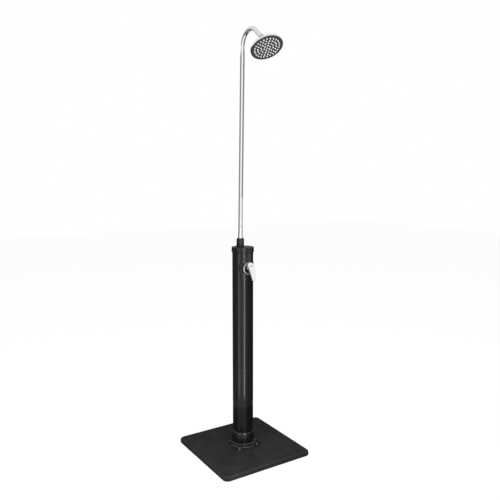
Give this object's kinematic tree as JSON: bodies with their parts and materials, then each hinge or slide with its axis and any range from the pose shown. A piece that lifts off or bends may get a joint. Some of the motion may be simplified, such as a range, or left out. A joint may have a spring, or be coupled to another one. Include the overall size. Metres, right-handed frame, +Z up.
{
  "type": "outdoor shower post",
  "caption": "Free-standing outdoor shower: water tank on a square foot, lever mixer, chrome riser with gooseneck and round spray head on a ball joint.",
  "frame": {"origin": "middle of the base plate's underside, on the ground", "axes": "+Z up, -Y towards the front, where the mixer and the spray head point, +X to the right as seen by someone who looks at the front"},
  "size_m": [0.5, 0.5242, 2.1038],
  "materials": {
    "plate_resin": "matte moulded black",
    "tank_plastic": "satin black",
    "fitting_plastic": "satin black moulding",
    "liner_plastic": "slippery white",
    "cartridge_plastic": "natural",
    "face_plastic": "dark, smooth",
    "chrome_metal": "polished",
    "bolt_steel": "zinc plated",
    "stainless": "plain",
    "brass_metal": "machined",
    "seal_rubber": "soft black",
    "nozzle_silicone": "soft pale grey",
    "disc_ceramic": "ground ceramic",
    "index_plastic": "grey cover"
  },
  "bodies": {
    "post": {"base_plate_left": "plate_resin", "base_plate_right": "plate_resin", "seam_dowels": "fitting_plastic", "backing_plate": "stainless", "flange_washers": "bolt_steel", "flange_bolts": "bolt_steel", "flange_nuts": "bolt_steel", "base_flange": "fitting_plastic", "tank_tube": "tank_plastic", "tank_floor": "fitting_plastic", "floor_seal": "seal_rubber", "top_cap": "fitting_plastic", "cap_seal": "seal_rubber", "riser_gasket": "seal_rubber", "riser_socket": "chrome_metal", "riser_locknut": "stainless", "riser_nut": "fitting_plastic", "riser_seal": "seal_rubber", "mixer_saddle": "fitting_plastic", "valve_body": "brass_metal", "valve_washer": "seal_rubber", "cartridge_body": "cartridge_plastic", "ceramic_disc_fixed": "disc_ceramic", "cartridge_nut": "fitting_plastic", "mixer_bezel": "chrome_metal", "dust_ring": "fitting_plastic", "hose_inlet": "fitting_plastic", "inlet_washer": "seal_rubber", "inlet_locknut": "fitting_plastic", "drain_bush": "fitting_plastic", "drain_washer": "seal_rubber", "drain_plug": "fitting_plastic", "hot_draw_pipe": "brass_metal", "cold_feed_pipe": "brass_metal", "riser_feed_pipe": "brass_metal"},
    "mixer_turn": {"ceramic_disc_moving": "disc_ceramic", "cartridge_driver": "cartridge_plastic", "stem_pin": "bolt_steel"},
    "lever": {"lever_handle": "chrome_metal", "cartridge_stem": "brass_metal", "lever_screw": "stainless", "index_plug": "index_plastic"},
    "riser": {"riser_pipe": "chrome_metal", "riser_sleeve": "stainless", "gooseneck_arm": "chrome_metal", "ball_stud": "chrome_metal", "stud_washer": "seal_rubber"},
    "head_seat": {"ball_liner": "liner_plastic"},
    "head": {"head_back": "chrome_metal", "head_nut": "chrome_metal", "head_face": "face_plastic", "nozzle_mat": "nozzle_silicone", "head_gasket": "seal_rubber"}
  },
  "joints": [
    {"name": "lever_temperature", "type": "hinge", "parent": "post", "child": "mixer_turn", "pos_m": [0, 0, 0.958], "axis": [0, -1, 0], "range_deg": [-45, 45]},
    {"name": "lever_flow", "type": "hinge", "parent": "mixer_turn", "child": "lever", "pos_m": [0, -0.043, 0.958], "axis": [1, 0, 0], "range_deg": [0, 22]},
    {"name": "riser_swivel", "type": "hinge", "parent": "post", "child": "riser", "pos_m": [0, 0.024, 1.061], "axis": [0, -0.0262, 0.9997], "continuous": true},
    {"name": "head_swivel", "type": "hinge", "parent": "riser", "child": "head_seat", "pos_m": [0, -0.18247, 2.02455], "axis": [0, 0.7869, 0.617], "continuous": true},
    {"name": "head_tilt", "type": "hinge", "parent": "head_seat", "child": "head", "pos_m": [0, -0.18247, 2.02455], "axis": [1, 0, 0], "range_deg": [-20.5, 6.5]}
  ]
}
